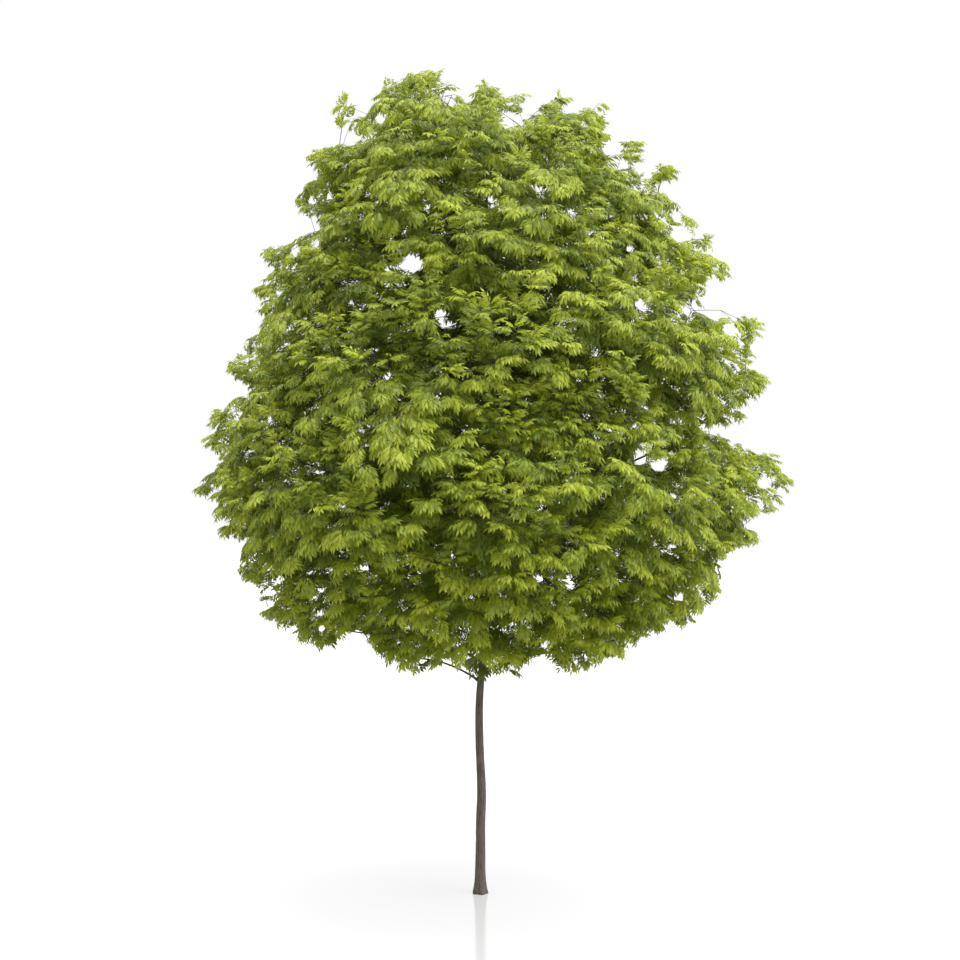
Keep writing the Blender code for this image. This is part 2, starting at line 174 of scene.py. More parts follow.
def skinHeights(count):
    # heights that share the crown's skin evenly
    steps = 400
    rise = (crownTop - crown["lowestAim"]) / steps
    heights, areas = [crown["lowestAim"]], [0.0]
    for step in range(steps):
        low = crown["lowestAim"] + rise * step
        high = min(low + rise, crownTop)
        first, last = crownReach(low, pi / 2), crownReach(high, pi / 2)
        heights.append(high)
        areas.append(areas[-1] + (first + last) * hypot(rise, last - first))
    whole = areas[-1] * (1 - crown["leaderShare"])
    wanted = [(k + 0.5) / count * whole for k in range(count)]
    return [next(h for h, a in zip(heights, areas) if a >= want) for want in wanted]


# The limbs: trunk, boughs and the stems of the foliage

trunk = {
    # height, radius, and how far the centre wanders sideways and forwards
    "stations": (
        (0.00, 0.078, 0.000, 0.000), (0.05, 0.068, 0.000, 0.000), (0.13, 0.058, 0.001, 0.001),
        (0.30, 0.051, 0.004, 0.002), (0.65, 0.047, 0.006, 0.004), (1.05, 0.045, 0.015, 0.003),
        (1.50, 0.041, -0.005, -0.002), (1.95, 0.038, -0.004, -0.006), (2.40, 0.036, 0.035, 0.000),
        (3.00, 0.033, 0.085, 0.012), (4.00, 0.028, 0.070, -0.010), (5.20, 0.022, 0.095, 0.012),
        (6.20, 0.017, 0.080, -0.004), (7.10, 0.012, 0.065, 0.000),
    ),
    "sides": 12,
    "flareHeight": 0.25,
    "flareRibs": 5,
    "flareDepth": 0.10,
    "meshSides": 48,
    "ringEvery": 0.025,
    "cracks": (85.0, 0.0022),  # how fine, and how deep
    "lumps": (14, 3.1, 0.0030),  # how fine around and along, and how deep
    "slimBelow": 0.045,  # where a thinner stem's bark turns smoother
}

boughs = {
    "count": 26,
    "sides": 5,
    "turn": radians(68.75),
    "firstAzimuth": radians(135.0),
    "climb": (radians(9.0), radians(59.0)),  # at the crown's foot and at its top
    "arch": radians(13.0),
    "tipRadius": 0.009,
    "taper": 0.0032,
    "segments": 4,
    "seed": 4100,
    "meshSides": 12,
    "ringEvery": 0.05,
    "collar": 0.55,  # how much thicker a bough is where it leaves the trunk
    "collarLength": 0.07,
    "collarFrom": 0.02,
    "wander": 0.006,
    "wanderAt": (7.3, 0.31, 2.0),  # the noise's place by bough, by ring, and its layer
    "azimuthVaries": 0.16,
    "reachVaries": (0.965, 0.995),
    "fewestRings": 8,
    "swell": (22.0, 0.10),  # how fine, and its share of the radius
    "cracks": (120.0, 0.05),
}

masses = {
    "depth": 1.20,
    "share": 0.62,
    "centre": 0.55,
    "seed": 7300,
    "inner": (2.85, 3.65, 4.45, 5.25, 6.05),
    "innerAzimuth": 0.5,
    "innerTurn": 2.4,
    "innerClimb": radians(32.0),
    "innerReach": 1.25,
    "stemRadii": (0.009, 0.0085, 0.0075, 0.0042),
    "stemShortOfSkin": 0.50,
    "stemShortest": 0.30,
    # its first bend from the foot, its second from the end, as shares, and the second's rise
    "stemBends": (0.35, 0.30, 0.02),
    "cellMargin": 0.006,
    "limbMargin": 0.003,
    "clearance": 0.0003,
}


def trunkAt(height):
    heights, _, across, forwards = zip(*trunk["stations"])
    height = min(height, heights[-1])
    return Vector((np.interp(height, heights, across), np.interp(height, heights, forwards), height))


def ringFrames(path):
    frames = []
    side = None
    for i in range(len(path)):
        ahead = path[min(i + 1, len(path) - 1)] - path[max(i - 1, 0)]
        ahead.normalize()
        if side is None:
            side = ahead.orthogonal().normalized()
        side = (side - ahead * side.dot(ahead)).normalized()
        frames.append((side, ahead.cross(side)))
    return frames


def tubeFaces(rings, sides):
    faces = [tuple(reversed(range(sides)))]
    for ring in range(rings - 1):
        for corner in range(sides):
            after = (corner + 1) % sides
            low, high = ring * sides, (ring + 1) * sides
            faces.append((low + corner, low + after, high + after, high + corner))
    faces.append(tuple(range((rings - 1) * sides, rings * sides)))
    return faces


def limbShape(path, radii, sides):
    vertices = []
    for point, radius, (side, front) in zip(path, radii, ringFrames(path)):
        for corner in range(sides):
            turn = 2 * pi * corner / sides
            vertices.append(point + radius * (side * cos(turn) + front * sin(turn)))
    return vertices, tubeFaces(len(path), sides)


def trunkKeepOut(extra):
    vertices = []
    sides = trunk["sides"]
    for height, radius, x, y in trunk["stations"]:
        rib = trunk["flareDepth"] * max(0.0, 1 - height / trunk["flareHeight"])
        for corner in range(sides):
            turn = 2 * pi * corner / sides
            out = radius * (1 + rib * cos(trunk["flareRibs"] * turn)) + extra
            vertices.append(Vector((x + out * cos(turn), y + out * sin(turn), height)))
    for vertex in vertices[:sides]:
        vertex.z -= extra
    for vertex in vertices[-sides:]:
        vertex.z += extra
    return BVHTree.FromPolygons(vertices, tubeFaces(len(trunk["stations"]), sides))


def fromAngles(azimuth, climb):
    return polar(cos(climb), azimuth, sin(climb))


def curveBetween(low, leaving, high, arriving, t):
    return (
        low * (2 * t**3 - 3 * t**2 + 1)
        + leaving * (t**3 - 2 * t**2 + t)
        + high * (3 * t**2 - 2 * t**3)
        + arriving * (t**3 - t**2)
    )


def archedPath(root, tip, climb, azimuth, segments):
    reach = (tip - root).length
    leaving = fromAngles(azimuth, climb + boughs["arch"]) * reach
    arriving = fromAngles(azimuth, climb - boughs["arch"]) * reach
    return [curveBetween(root, leaving, tip, arriving, k / segments) for k in range(segments + 1)]


def planBoughs():
    plans = []
    for number, height in enumerate(skinHeights(boughs["count"])):
        rng = random.Random(boughs["seed"] + number)
        pair, side = divmod(number, 2)
        azimuth = boughs["firstAzimuth"] + pair * boughs["turn"] + side * pi
        azimuth += vary(rng, boughs["azimuthVaries"])
        share = (height - crownFoot) / (crownTop - crownFoot)
        climb = blend(*boughs["climb"], share)
        reach = crownReach(height, azimuth) * rng.uniform(*boughs["reachVaries"])
        skin = polar(reach, azimuth, height)
        root = trunkAt(height - reach * tan(climb))
        whole = (skin - root).length
        tip = root.lerp(skin, 1 - min(masses["depth"], masses["share"] * whole) / whole)
        segments = boughs["segments"]
        thicker = boughs["taper"] * (tip - root).length / segments
        plans.append({
            "root": root,
            "tip": tip,
            "climb": climb,
            "azimuth": azimuth,
            "path": archedPath(root, tip, climb, azimuth, segments),
            "radii": [boughs["tipRadius"] + thicker * k for k in range(segments, -1, -1)],
            "skin": skin,
        })
    return plans


def planMasses(boughPlans):
    plans = []
    for bough in boughPlans:
        path = bough["path"]
        ahead = (path[-1] - path[-2]).normalized()
        foot = path[-1] + ahead * masses["clearance"]
        plans.append({"foot": foot, "ahead": ahead, "skin": bough["skin"]})
    for number, height in enumerate(masses["inner"]):
        foot = trunkAt(height)
        azimuth = masses["innerAzimuth"] + number * masses["innerTurn"]
        ahead = fromAngles(azimuth, masses["innerClimb"])
        plans.append({"foot": foot, "ahead": ahead, "skin": foot + ahead * masses["innerReach"]})
    skin = Vector((0.0, 0.0, crownTop))
    foot = trunkAt(crownTop) + up * masses["clearance"]
    plans.append({"foot": foot, "ahead": up.copy(), "skin": skin})
    return plans


def planStem(plan, seed):
    foot, ahead = plan["foot"], plan["ahead"]
    way = plan["skin"] - foot
    length = max(way.length - masses["stemShortOfSkin"], masses["stemShortest"])
    last = foot + way.normalized() * length
    first, second, rise = masses["stemBends"]
    path = [foot, foot + ahead * (length * first), last.lerp(foot, second) + ahead * rise, last]
    shape = limbShape(path, masses["stemRadii"], twigs["sides"])
    return {"path": path, "shape": shape, "seed": seed}


# The twigs and sprays of one mass, by the same rule as its solid

twigs = {
    "angles": (radians(66.0), radians(58.0), radians(50.0)),
    "stations": (0.12, 0.45, 0.78),
    "turn": radians(60.0),
    "step": 0.022,
    "sides": 3,
    "radius": 0.0075,
    "tipRadius": 0.0042,
    "shortest": 0.14,
    "longest": 1.6,
    "shortOfRoom": 0.30,
    "lengthsTried": 14,
    "tried": 26,
    "roomStep": 0.05,
    "mostRoom": 2.0,
    "laterStations": (0.1, 0.9),
    "laterAngles": (0.7, 1.2),
    "aroundVaries": 0.25,
    "angleVaries": 0.12,
    "fewestSprays": 14,
    "mostSprays": 16,
    "pairs": ((0.85, 0.30), (0.45, 1.30)),
    "pairAngle": radians(62.0),
    "pairStep": 0.015,
    "pairClear": 0.08,
    "sunk": 0.030,
}

sprays = {
    "length": 0.62,
    "width": 0.46,
    "thickness": 0.024,
    "crest": 0.41,
    "arch": 0.06,
    "sag": 0.05,
    "drop": 0.12,
    "sizes": (1.1, 0.9, 0.72),
    "droops": (0.6, 0.3, 0.9, 0.0),
    "outward": 1.0,
}

bladeFaces = (
    (0, 2, 4), (2, 3, 4), (3, 1, 4), (1, 0, 4), (0, 5, 2), (2, 5, 3), (3, 5, 1), (1, 5, 0),
)


def makeSpace(number, centres, limbs):
    others = [c for i, c in enumerate(centres) if i != number]
    return {"own": centres[number], "others": others, "limbs": limbs, "grown": []}


def holds(space, point):
    if not insideCrown(point):
        return False
    own = space["own"]
    for other in space["others"]:
        between = other - own
        if (point - (own + other) / 2).dot(between) > -masses["cellMargin"] * between.length:
            return False
    return True


def roomAhead(space, root, ahead):
    length, step = 0.0, twigs["roomStep"]
    while length < twigs["mostRoom"] and holds(space, root + ahead * (length + step)):
        length += step
    return length


def takes(space, shape, butFor=()):
    if not all(holds(space, vertex) for vertex in shape[0]):
        return False
    if shape[1] is bladeFaces and fillsSkyGap(shape[0]):
        return False
    tree = BVHTree.FromPolygons(*shape)
    if any(tree.overlap(other) for other in space["limbs"]):
        return False
    return not any(tree.overlap(o) for i, o in enumerate(space["grown"]) if i not in butFor)


def keep(space, shape):
    space["grown"].append(BVHTree.FromPolygons(*shape))
    return len(space["grown"]) - 1


def sprayFrame(root, ahead):
    outward = Vector((root.x, root.y, 0.0)).normalized()
    face = up + outward * sprays["outward"]
    face = (face - ahead * face.dot(ahead)).normalized()
    return face, ahead.cross(face)


def bladeShape(root, ahead, size):
    face, side = sprayFrame(root, ahead)
    length = sprays["length"] * size
    half = 0.5 * sprays["width"] * size
    middle = root + ahead * (sprays["crest"] * length) + face * (sprays["arch"] * length)
    thick = face * (0.5 * sprays["thickness"] * length)
    edge = middle - face * (sprays["sag"] * length)
    tip = root + ahead * length - face * (sprays["drop"] * length)
    points = [root, edge - side * half, edge + side * half, tip, middle + thick, middle - thick]
    return points, bladeFaces


def turned(ahead, angle, around):
    side = levelSide(ahead)
    lift = side.cross(ahead)
    sideways = side * cos(around) + lift * sin(around)
    return (ahead * cos(angle) + sideways * sin(angle)).normalized()


def findSpray(space, root, ahead, sizes, butFor=()):
    for size in sizes:
        for droop in sprays["droops"]:
            leaning = (ahead - up * droop).normalized()
            shape = bladeShape(root, leaning, size)
            if takes(space, shape, butFor):
                return shape, (root, leaning, size)
    return None


def addSpray(space, mass, root, ahead, bearer):
    found = findSpray(space, root, ahead, sprays["sizes"], (bearer,))
    if found:
        keep(space, found[0])
        mass["sprays"].append(found[1])


def addTwig(space, mass, root, ahead, stem):
    room = min(roomAhead(space, root, ahead), twigs["longest"])
    for step in range(twigs["lengthsTried"]):
        length = room * (1 - step / twigs["lengthsTried"]) - twigs["shortOfRoom"]
        if length < twigs["shortest"]:
            return
        tip = root + ahead * length
        twig = limbShape([root, tip], (twigs["radius"], twigs["tipRadius"]), twigs["sides"])
        spray = findSpray(space, tip - ahead * twigs["sunk"], ahead, sprays["sizes"][:1])
        if spray and takes(space, twig, (stem,)):
            break
    else:
        return
    bearer = keep(space, twig)
    keep(space, spray[0])
    mass["twigs"].append((root, tip))
    mass["sprays"].append(spray[1])
    for place, first in twigs["pairs"]:
        foot = root.lerp(tip, place)
        if (foot - root).length < twigs["pairClear"]:
            continue
        for side in (0, 1):
            leaving = turned(ahead, twigs["pairAngle"], first + side * pi)
            addSpray(space, mass, foot - ahead * (twigs["pairStep"] * side), leaving, bearer)


def growMass(space, stem):
    mass = {"stem": stem["path"], "twigs": [], "sprays": []}
    path = stem["path"]
    bearer = keep(space, stem["shape"])
    topAhead = (path[-1] - path[-2]).normalized()
    addSpray(space, mass, path[-1] - topAhead * twigs["sunk"], topAhead, bearer)
    for side in (0, 1):
        foot = path[-1] - topAhead * (2 * twigs["sunk"] + twigs["pairStep"] * side)
        leaving = turned(topAhead, twigs["pairAngle"], side * pi)
        addSpray(space, mass, foot, leaving, bearer)
    rng = random.Random(stem["seed"])
    for number in range(twigs["tried"]):
        pair, side = divmod(number, 2)
        if pair < len(twigs["stations"]):
            station, angle = twigs["stations"][pair], twigs["angles"][pair]
            around = pair * twigs["turn"]
            enough = twigs["mostSprays"]
        else:
            station = rng.uniform(*twigs["laterStations"])
            angle = rng.uniform(*twigs["laterAngles"])
            around = rng.uniform(0.0, 2 * pi)
            enough = twigs["fewestSprays"]
        around += side * pi + vary(rng, twigs["aroundVaries"])
        angle += vary(rng, twigs["angleVaries"])
        if len(mass["sprays"]) > enough:
            continue
        piece, share = divmod(station * (len(path) - 1), 1)
        low, high = path[int(piece)], path[int(piece) + 1]
        ahead = (high - low).normalized()
        root = low.lerp(high, share) + ahead * (twigs["step"] * side)
        addTwig(space, mass, root, turned(ahead, angle, around), bearer)
    return mass


def keepOut(path, radii, sides):
    fat = [radius + masses["limbMargin"] for radius in radii]
    return BVHTree.FromPolygons(*limbShape(path, fat, sides))


def growMasses(boughPlans):
    plans = planMasses(boughPlans)
    stems = [planStem(plan, masses["seed"] + number) for number, plan in enumerate(plans)]
    centres = [plan["foot"].lerp(plan["skin"], masses["centre"]) for plan in plans]
    limbs = [trunkKeepOut(masses["limbMargin"])]
    limbs += [keepOut(bough["path"], bough["radii"], boughs["sides"]) for bough in boughPlans]
    stemTrees = [keepOut(stem["path"], masses["stemRadii"], twigs["sides"]) for stem in stems]
    grown = []
    for number, stem in enumerate(stems):
        others = [tree for i, tree in enumerate(stemTrees) if i != number]
        grown.append(growMass(makeSpace(number, centres, limbs + others), stem))
    return grown


boughPlans = planBoughs()
grownMasses = growMasses(boughPlans)
sprayCount = sum(len(mass["sprays"]) for mass in grownMasses)
print("growth:", sprayCount, "sprays on", sum(len(m["twigs"]) for m in grownMasses), "twigs")


# Materials


def newMaterial(name):
    made = bpy.data.materials.new(name)
    made.use_nodes = True
    made.node_tree.nodes.clear()
    return made, made.node_tree


def addNode(tree, kind, settings=(), values=(), feeds=()):
    # a node with its settings, the values of its inputs, and the outputs that feed them
    made = tree.nodes.new(kind)
    for name, value in dict(settings).items():
        setattr(made, name, value)
    for name, value in dict(values).items():
        made.inputs[name].default_value = value
    for name, source in dict(feeds).items():
        tree.links.new(source, made.inputs[name])
    return made


def barkPattern():
    # place along the limb in, colour share and height out: fine fissures over soft patches
    group = bpy.data.node_groups.new("barkPattern", "ShaderNodeTree")
    for name, way, kind in (
        ("Place", "INPUT", "NodeSocketVector"),
        ("Fineness", "INPUT", "NodeSocketFloat"),
        ("Fissures", "OUTPUT", "NodeSocketFloat"),
        ("Patches", "OUTPUT", "NodeSocketFloat"),
        ("Height", "OUTPUT", "NodeSocketFloat"),
    ):
        group.interface.new_socket(name=name, in_out=way, socket_type=kind)
    start = group.nodes.new("NodeGroupInput").outputs
    place = {"Vector": start["Place"]}
    stretch = addNode(group, "ShaderNodeMapping", {}, {"Scale": (1.0, 1.0, 0.06)}, place)
    grain = addNode(
        group, "ShaderNodeTexNoise", {}, {"Detail": 4.0, "Roughness": 0.62},
        {"Vector": stretch.outputs["Vector"], "Scale": start["Fineness"]},
    ).outputs["Fac"]
    fissures = addNode(
        group, "ShaderNodeMapRange", {"interpolation_type": "SMOOTHSTEP"},
        {"From Min": 0.50, "From Max": 0.38}, {"Value": grain},
    ).outputs["Result"]
    patches = addNode(group, "ShaderNodeTexNoise", {}, {"Scale": 9.0, "Detail": 3.0}, place)
    height = addNode(
        group, "ShaderNodeMath", {"operation": "SUBTRACT"}, {}, {0: grain, 1: fissures}
    )
    addNode(group, "NodeGroupOutput", feeds={
        "Fissures": fissures,
        "Patches": patches.outputs["Fac"],
        "Height": height.outputs["Value"],
    })
    return group


barkTints = {
    # its light, its dark and its cracks, then the fineness and depth of the fissures
    "trunkBark": ((0.128, 0.106, 0.089), (0.080, 0.065, 0.054), (0.045, 0.036, 0.029), 170.0, 0.0010),
    "boughBark": ((0.105, 0.088, 0.070), (0.062, 0.050, 0.039), (0.032, 0.026, 0.020), 220.0, 0.0006),
    "twigBark": ((0.120, 0.110, 0.060), (0.070, 0.060, 0.034), (0.045, 0.036, 0.022), 60.0, 0.0002),
}


def barkMaterial(name, pattern, light, dark, crack, fineness, depth):
    made, tree = newMaterial(name)
    if name == "twigBark":
        place = addNode(tree, "ShaderNodeTexCoord").outputs["Object"]
    else:
        source = addNode(tree, "ShaderNodeAttribute", {"attribute_name": "barkPlace"})
        place = source.outputs["Vector"]
    worn = addNode(
        tree, "ShaderNodeGroup", {"node_tree": pattern}, {"Fineness": fineness}, {"Place": place}
    ).outputs
    colours = {"data_type": "RGBA"}
    body = addNode(
        tree, "ShaderNodeMix", colours, {"A": (*dark, 1.0), "B": (*light, 1.0)},
        {"Factor": worn["Patches"]},
    )
    cracked = addNode(
        tree, "ShaderNodeMix", colours, {"B": (*crack, 1.0)},
        {"Factor": worn["Fissures"], "A": body.outputs["Result"]},
    )
    bump = addNode(
        tree, "ShaderNodeBump", {}, {"Distance": depth, "Strength": 0.8}, {"Height": worn["Height"]}
    )
    shader = addNode(
        tree, "ShaderNodeBsdfPrincipled", {}, {"Roughness": 0.86, "Specular IOR Level": 0.25},
        {"Base Color": cracked.outputs["Result"], "Normal": bump.outputs["Normal"]},
    )
    addNode(tree, "ShaderNodeOutputMaterial", feeds={"Surface": shader.outputs["BSDF"]})
    return made


leafTints = {
    # front, back and the light that comes through, for each tint dealt out by spray; the paler tints
    # also stand for lit leaves at the crown's skin, and the darker ones for painted shade further in
    "freshAndLit": ((0.270, 0.320, 0.022), (0.240, 0.285, 0.042), (0.400, 0.455, 0.016)),
    "bright": ((0.205, 0.258, 0.018), (0.195, 0.240, 0.038), (0.315, 0.375, 0.014)),
    "middle": ((0.148, 0.198, 0.013), (0.155, 0.198, 0.032), (0.245, 0.305, 0.011)),
    "deep": ((0.106, 0.150, 0.010), (0.112, 0.148, 0.024), (0.175, 0.228, 0.009)),
    "shade": ((0.074, 0.110, 0.007), (0.074, 0.102, 0.018), (0.115, 0.155, 0.007)),
}


def leafMaterial(name, front, back, through):
    made, tree = newMaterial(name)
    geometry = addNode(tree, "ShaderNodeNewGeometry")
    sides = addNode(
        tree, "ShaderNodeMix", {"data_type": "RGBA"}, {"A": (*front, 1.0), "B": (*back, 1.0)},
        {"Factor": geometry.outputs["Backfacing"]},
    )
    surface = addNode(
        tree, "ShaderNodeBsdfPrincipled", {}, {"Roughness": 0.48, "Specular IOR Level": 0.30},
        {"Base Color": sides.outputs["Result"]},
    )
    glow = addNode(tree, "ShaderNodeBsdfTranslucent", {}, {"Color": (*through, 1.0)})
    mixed = addNode(
        tree, "ShaderNodeMixShader", {}, {"Fac": 0.32},
        {1: surface.outputs["BSDF"], 2: glow.outputs["BSDF"]},
    )
    addNode(tree, "ShaderNodeOutputMaterial", feeds={"Surface": mixed.outputs["Shader"]})
    return made


pattern = barkPattern()
trunkFinish, boughFinish, twigFinish = (
    barkMaterial(name, pattern, *tint) for name, tint in barkTints.items()
)
leafFinishes = [leafMaterial(f"leaf_{name}", *tint) for name, tint in leafTints.items()]


# Trunk and boughs, each a ring pulled out along its line


def pullRing(name, path, radii, sides, turn):
    bpy.ops.object.select_all(action="DESELECT")
    bpy.ops.mesh.primitive_circle_add(
        vertices=sides, radius=radii[0], fill_type="NGON", location=path[0], rotation=turn
    )
    made = bpy.context.object
    made.name = made.data.name = name
    bpy.ops.object.transform_apply(location=True, rotation=True, scale=True)
    bpy.ops.object.mode_set(mode="EDIT")
    bpy.ops.mesh.select_all(action="SELECT")
    for i in range(1, len(path)):
        bpy.ops.mesh.extrude_region_move(TRANSFORM_OT_translate={"value": path[i] - path[i - 1]})
        grow = radii[i] / radii[i - 1]
        bpy.ops.transform.resize(value=(grow, grow, grow), center_override=path[i])
    bpy.ops.mesh.select_all(action="SELECT")
    bpy.ops.mesh.normals_make_consistent(inside=False)
    bpy.ops.object.mode_set(mode="OBJECT")
    bpy.ops.object.shade_smooth()
    return made


def smoothStations():
    # the trunk's line through its stations, rounded off
    stations = trunk["stations"]
    heights = [s[0] for s in stations]
    count = round(heights[-1] / trunk["ringEvery"])
    path, radii = [], []
    for k in range(count + 1):
        height = heights[-1] * k / count
        i = max(j for j in range(len(heights) - 1) if heights[j] <= height or j == 0)
        before, after = max(i - 1, 0), min(i + 2, len(heights) - 1)
        t = (height - heights[i]) / (heights[i + 1] - heights[i])
        values = []
        for item in (1, 2, 3):
            a, b = stations[i][item], stations[i + 1][item]
            span = heights[i + 1] - heights[i]
            leaving = (b - stations[before][item]) / (heights[i + 1] - heights[before]) * span
            coming = (stations[after][item] - a) / (heights[after] - heights[i]) * span
            values.append(curveBetween(a, leaving, b, coming, t))
        path.append(Vector((values[1], values[2], height)))
        radii.append(values[0])
    return path, radii


def setBarkPlace(mesh, places):
    attribute = mesh.attributes.new("barkPlace", "FLOAT_VECTOR", "POINT")
    attribute.data.foreach_set("vector", np.array(places, np.float32).ravel())


def fissureAt(place, fineness, stretch=0.09, narrow=5.0):
    near = Vector((place.x * fineness, place.y * fineness, place.z * fineness * stretch))
    return max(0.0, 1 - abs(noise.noise(near)) * narrow)


def makeTrunk():
    path, radii = smoothStations()
    made = pullRing("trunk_bark", path, radii, trunk["meshSides"], (0.0, 0.0, 0.0))
    places = []
    every = path[-1].z / (len(path) - 1)
    for vertex in made.data.vertices:
        ring = min(len(path) - 1, round(vertex.co.z / every))
        centre, radius = path[ring], radii[ring]
        out = vertex.co - centre
        turn = atan2(out.y, out.x)
        place = polar(radius, turn, vertex.co.z)
        rib = trunk["flareDepth"] * max(0.0, 1 - vertex.co.z / trunk["flareHeight"])
        grown = radius * rib * cos(trunk["flareRibs"] * turn)
        slim = min(1.0, radius / trunk["slimBelow"])
        (around, along, lumpDepth), (fineness, crackDepth) = trunk["lumps"], trunk["cracks"]
        lump = noise.noise(Vector((place.x * around, place.y * around, place.z * along)))
        grown += lumpDepth * lump * slim
        grown -= crackDepth * fissureAt(place, fineness) * slim
        vertex.co += polar(1.0, turn, 0.0) * grown
        places.append(place)
    setBarkPlace(made.data, places)
    made.data.materials.append(trunkFinish)
    return made


def makeBough(number, plan):
    length = (plan["tip"] - plan["root"]).length
    steps = max(boughs["fewestRings"], round(length / boughs["ringEvery"]))
    path = archedPath(plan["root"], plan["tip"], plan["climb"], plan["azimuth"], steps)
    thick = plan["radii"]
    radii = []
    for k, point in enumerate(path):
        radius = thick[0] + (thick[-1] - thick[0]) * k / steps
        away = max(0.0, (point - path[0]).length - boughs["collarFrom"])
        radius *= 1 + boughs["collar"] * exp(-((away / boughs["collarLength"]) ** 2))
        radii.append(radius)
        if 0 < k < steps:
            byBough, byRing, layer = boughs["wanderAt"]
            shift = noise.noise_vector(Vector((number * byBough, k * byRing, layer)))
            path[k] = point + shift * boughs["wander"]
    chord = (path[-1] - path[0]).normalized()
    turn = chord.to_track_quat("Z", "Y").to_euler()
    made = pullRing(f"bough_{number + 1:02d}_bark", path, radii, boughs["meshSides"], turn)
    side = chord.orthogonal().normalized()
    front = chord.cross(side)
    places = []
    for vertex in made.data.vertices:
        ring = min(range(len(path)), key=lambda k: abs((vertex.co - path[k]).dot(chord)))
        out = vertex.co - path[ring]
        turn = atan2(out.dot(front), out.dot(side))
        radius = radii[ring]
        place = polar(radius, turn, number + ring * boughs["ringEvery"])
        (finely, swell), (fineness, crack) = boughs["swell"], boughs["cracks"]
        grown = noise.noise(place * finely) * swell - fissureAt(place, fineness) * crack
        vertex.co += out * grown
        places.append(place)
    setBarkPlace(made.data, places)
    made.data.materials.append(boughFinish)
    return made


def joinPieces(pieces, name):
    bpy.ops.object.select_all(action="DESELECT")
    for piece in pieces:
        piece.select_set(True)
    bpy.context.view_layer.objects.active = pieces[0]
    bpy.ops.object.join()
    pieces[0].name = pieces[0].data.name = name
    return pieces[0]


# without a seed, noise_vector follows the clock
noise.seed_set(boughs["seed"])
trunkBark = makeTrunk()
boughBark = joinPieces([makeBough(n, plan) for n, plan in enumerate(boughPlans)], "bough_bark")
print("bark:", len(trunkBark.data.polygons) + len(boughBark.data.polygons), "faces")


# Shoots that carry the tufts, and the tufts' leaves

shoots = {
    "radius": 0.0034,
    "tipRadius": 0.0018,
    # for each size of spray, where its tufts stand (along, across) and their leaves
    "tufts": {
        1.1: (
            (0.84, 0.0, 8), (0.66, 0.80, 7), (0.58, -0.82, 7), (0.46, 0.88, 7),
            (0.36, -0.85, 7), (0.24, 0.80, 7), (0.16, -0.70, 6),
        ),
        0.9: ((0.82, 0.0, 8), (0.60, 0.80, 7), (0.50, -0.85, 7), (0.34, 0.85, 7), (0.24, -0.7, 7)),
        0.72: ((0.78, 0.0, 8), (0.52, 0.80, 7), (0.42, -0.85, 7), (0.22, 0.70, 6)),
    },
    "ahead": 0.75,  # a tuft's axis: the shoot's own way, and how far it turns up and outwards
    "lift": 0.34,
    "outward": 0.58,
    "seed": 5200,
    "back": 0.20,  # how far behind its tuft a side shoot leaves, as a share of the spray
    "steps": 4,
    "alongVaries": 0.05,
    "knee": 0.012,
    "sideThicker": 1.3,
    "shortest": 0.05,  # as a share of the spray
}

# painted shade: leaves further under the crown's skin are dealt darker tints, with a random spread
shadeTinting = {
    "deepest": 2.3,  # how far under the skin the leaves are darkest
    "paler": 0.09,
    "varies": 0.41,
}

limbs = {
    # radii at both ends, and sides, of the stems and twigs as drawn
    "stem": (masses["stemRadii"][0] * 0.97, 0.0042, 7),
    "twig": (0.0062, 0.0034, 5),
    "stemSunk": 0.006,
    "stemSteps": 12,
    "stemBare": 3,  # steps of a stem that bear nothing finer
    "twigSteps": 6,
    "twigBend": 0.035,
    "twigBears": 0.02,  # how near a spray's foot has to be, and the shortest share of a twig kept
    "twigShortest": 0.1,
}

leaf = {
    "length": (0.130, 0.180),
    "nodeStep": 0.014,
    "angles": (0.10, 0.90),  # from the shoot's way, youngest leaf first
    "spread": 0.80,  # how far round from level a leaf may leave its shoot
    "flat": 0.80,
    "droop": (0.06, 0.42),  # for leaves that point sideways, and those that point outwards
    "outward": 0.65,
    "roll": 0.24,
    "young": 2,  # leaves at each tip that take the next paler tint
    "old": 0.7,  # the share of a tuft's leaves before those that take the next deeper one
    "blades": 0.43,  # a leaflet's length as a share of the leaf's
    "bladeWidth": 0.120,
    "bladeLengths": (0.92, 1.06),
    "bladeWidths": (0.9, 1.1),
    "bladeAngles": (46.0, 62.0),
    "bladeTilts": (4.0, 34.0),
    "bladeBends": (0.16, 0.44),
    "bladeWidest": (0.44, 0.19),  # along the leaflet, and its share of the bend there
    # rise, fall and seed of each shape, with five pairs of leaflets and with four
    "bends": (
        (0.30, 0.50, 11), (0.24, 0.56, 12), (0.34, 0.68, 13), (0.18, 0.38, 14), (0.26, 0.62, 16),
    ),
    "innerBends": ((0.30, 0.54, 15), (0.22, 0.44, 17)),
    "pairsAt": (0.24, 0.56),  # the first along the stalk, and how far the rest reach from it
    "stalkEnd": 0.86,
    "stalkRadius": 0.007,
    "innerFrom": 0.60,  # how far under the skin the leaves turn larger and simpler
    "innerSize": 1.16,
    "inGap": 0.22,  # the share of a leaf that may hang into a gap
    "inwards": -0.45,  # leaves that point further in than this are mostly dropped
    "inwardsDropped": 0.7,
    "crowding": 0.6,  # under 1 the leaves turn away from the shoot sooner
    "shareVaries": 0.6,
    "droopVaries": 0.12,
    "tipSize": 0.82,
    "fewest": 3,
}


def curveAt(rise, fall, s):
    return np.array((0.0, s - 0.10 * s * s, rise * s - fall * s * s))


